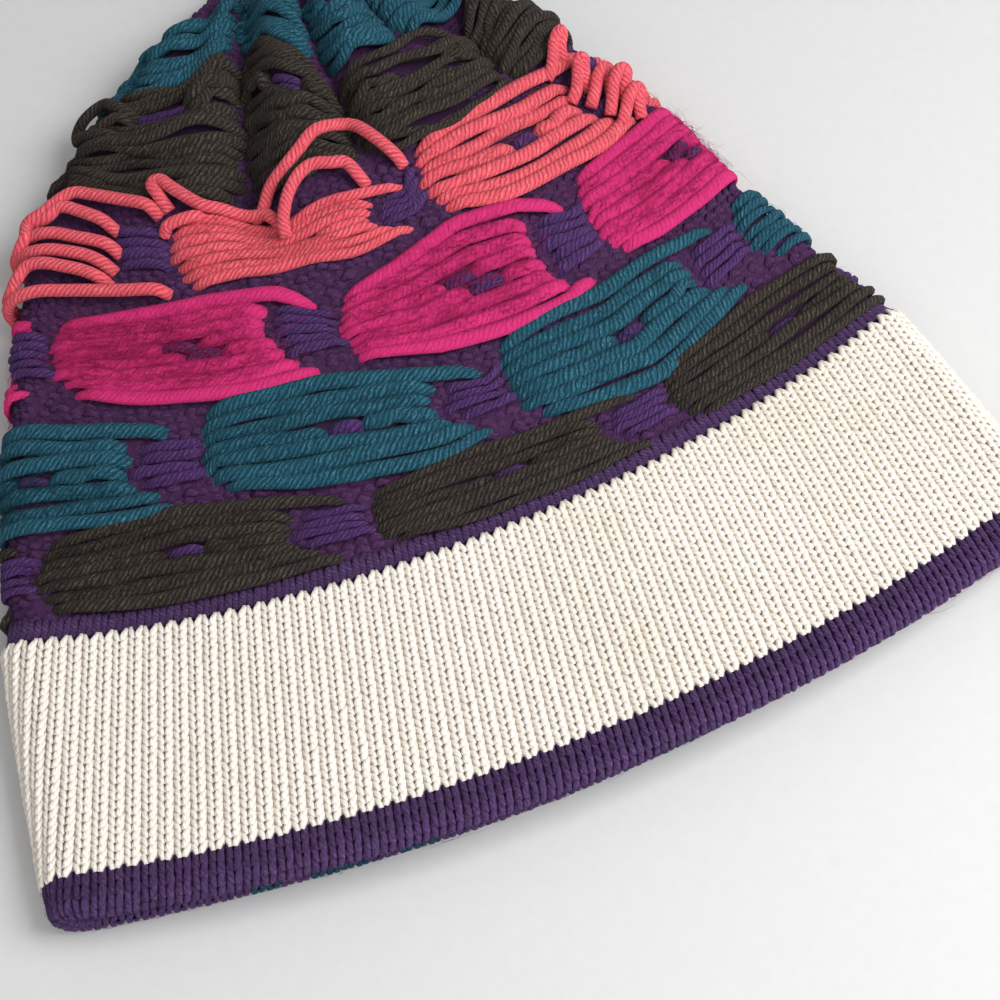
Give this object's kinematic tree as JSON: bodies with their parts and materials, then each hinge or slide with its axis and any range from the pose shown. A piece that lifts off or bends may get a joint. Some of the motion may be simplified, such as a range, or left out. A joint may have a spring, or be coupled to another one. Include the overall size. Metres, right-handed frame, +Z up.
{
  "type": "knitted ski hat",
  "caption": "knitted ski hat turned inside out and lying flat, with a plain facing band and rings of loose yarn floats up to a gathered crown",
  "frame": {"origin": "middle of the box's underside, on the surface that the hat lies on", "axes": "+Y runs from the mouth to the gathered crown, +X across the hat to the right as seen from the mouth, +Z up"},
  "size_m": [0.2494, 0.2782, 0.0312],
  "materials": {
    "purple_knit": "dark purple wool, purl side out",
    "cream_knit": "cream stockinette, faintly stained",
    "hem_knit": "purple wool, fine ribs of turned stitches",
    "brown_yarn": "dark olive brown plied wool yarn",
    "teal_yarn": "teal plied wool yarn",
    "magenta_yarn": "magenta wool yarn, lightly felted",
    "coral_yarn": "coral pink plied wool yarn"
  },
  "bodies": {
    "root": {"crown_shell": "purple_knit", "cream_band": "cream_knit", "hem_edge": "hem_knit", "brown_floats_1": "brown_yarn", "brown_floats_2": "brown_yarn", "brown_floats_3": "brown_yarn", "brown_floats_4": "brown_yarn", "brown_floats_5": "brown_yarn", "brown_floats_6": "brown_yarn", "teal_floats_1": "teal_yarn", "teal_floats_2": "teal_yarn", "teal_floats_3": "teal_yarn", "teal_floats_4": "teal_yarn", "teal_floats_5": "teal_yarn", "teal_floats_6": "teal_yarn", "magenta_floats_1": "magenta_yarn", "magenta_floats_2": "magenta_yarn", "magenta_floats_3": "magenta_yarn", "magenta_floats_4": "magenta_yarn", "magenta_floats_5": "magenta_yarn", "magenta_floats_6": "magenta_yarn", "coral_floats_1": "coral_yarn", "coral_floats_2": "coral_yarn", "coral_floats_3": "coral_yarn", "coral_floats_4": "coral_yarn", "coral_floats_5": "coral_yarn", "coral_floats_6": "coral_yarn", "crown_brown_floats_1": "brown_yarn", "crown_brown_floats_2": "brown_yarn", "crown_brown_floats_3": "brown_yarn", "crown_brown_floats_4": "brown_yarn", "crown_brown_floats_5": "brown_yarn", "crown_brown_floats_6": "brown_yarn", "crown_teal_floats_1": "teal_yarn", "crown_teal_floats_2": "teal_yarn", "crown_teal_floats_3": "teal_yarn", "crown_teal_floats_4": "teal_yarn", "crown_teal_floats_5": "teal_yarn", "crown_teal_floats_6": "teal_yarn"}
  },
  "joints": []
}
